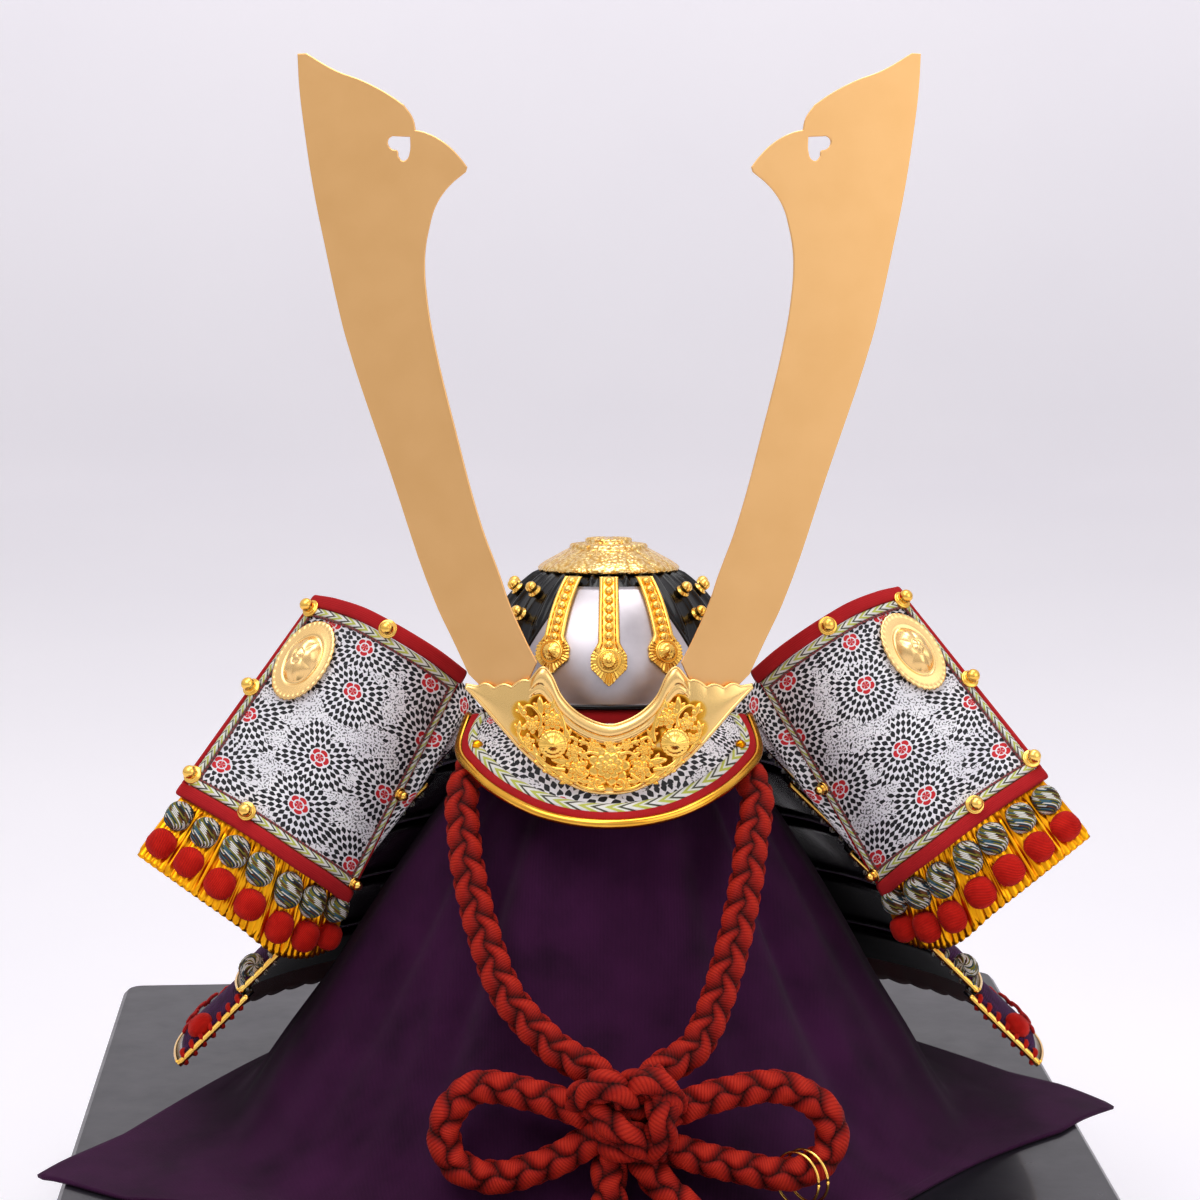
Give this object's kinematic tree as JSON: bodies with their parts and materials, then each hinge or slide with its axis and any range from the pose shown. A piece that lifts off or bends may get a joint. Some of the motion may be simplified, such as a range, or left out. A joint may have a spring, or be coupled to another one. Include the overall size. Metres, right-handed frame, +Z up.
{
  "type": "kabuto samurai helmet on a cloth-draped display stand",
  "caption": "Display samurai helmet with tall gold crest horns, printed wings, laced neck guard and red chin cord, on a purple cloth over a black stand.",
  "frame": {"origin": "middle of the stand's outline, at its foot", "axes": "+Z up, -Y the helmet's front, +X the viewer's right when facing the front"},
  "size_m": [0.4242, 0.4224, 0.4991],
  "materials": {
    "stand_black": "black satin lacquer over wood",
    "plain_wood": "plain sealed wood",
    "purple_cloth": "plain matte crepe weave",
    "black_lacquer": "gloss black lacquer over moulded plate",
    "silver_plate": "satin silver plate",
    "bright_gold": "polished gold plate",
    "satin_gold": "brushed satin gold plate",
    "scale_gold": "bright amber gold leaf over ribbed scales",
    "printed_leather": "white leather printed in black and red",
    "red_cloth": "plain red woven binding",
    "red_cord": "braided silk cord",
    "red_thread": "red wool thread",
    "mixed_thread": "twisted thread in white, teal, olive and brown"
  },
  "bodies": {
    "root": {"base_box": "stand_black", "stand_post": "plain_wood", "cloth_drape": "purple_cloth", "bowl": "black_lacquer", "rim_band": "red_cloth", "front_plate": "silver_plate", "strip_left": "bright_gold", "strip_middle": "bright_gold", "strip_right": "bright_gold", "crown_ornament": "bright_gold", "visor": "printed_leather", "visor_rim": "bright_gold", "crest_holder": "bright_gold", "horn_right": "satin_gold", "horn_left": "satin_gold", "wing_right": "printed_leather", "wing_hem_top_right": "red_cloth", "wing_hem_low_right": "red_cloth", "scales_right": "scale_gold", "tufts_upper_right": "mixed_thread", "tufts_lower_right": "red_thread", "rosette_right": "bright_gold", "wing_return_right": "black_lacquer", "wing_left": "printed_leather", "wing_hem_top_left": "red_cloth", "wing_hem_low_left": "red_cloth", "scales_left": "scale_gold", "tufts_upper_left": "mixed_thread", "tufts_lower_left": "red_thread", "rosette_left": "bright_gold", "wing_return_left": "black_lacquer", "neck_lame_1": "black_lacquer", "neck_lame_2": "black_lacquer", "neck_lame_3": "black_lacquer", "neck_lame_4": "black_lacquer", "neck_lame_5": "black_lacquer", "cord_strand_left": "red_cord", "cord_strand_right": "red_cord", "cord_loop_left": "red_cord", "cord_loop_right": "red_cord", "cord_tail_left": "red_cord", "cord_tail_right": "red_cord", "chin_knot": "red_cord"}
  },
  "joints": []
}
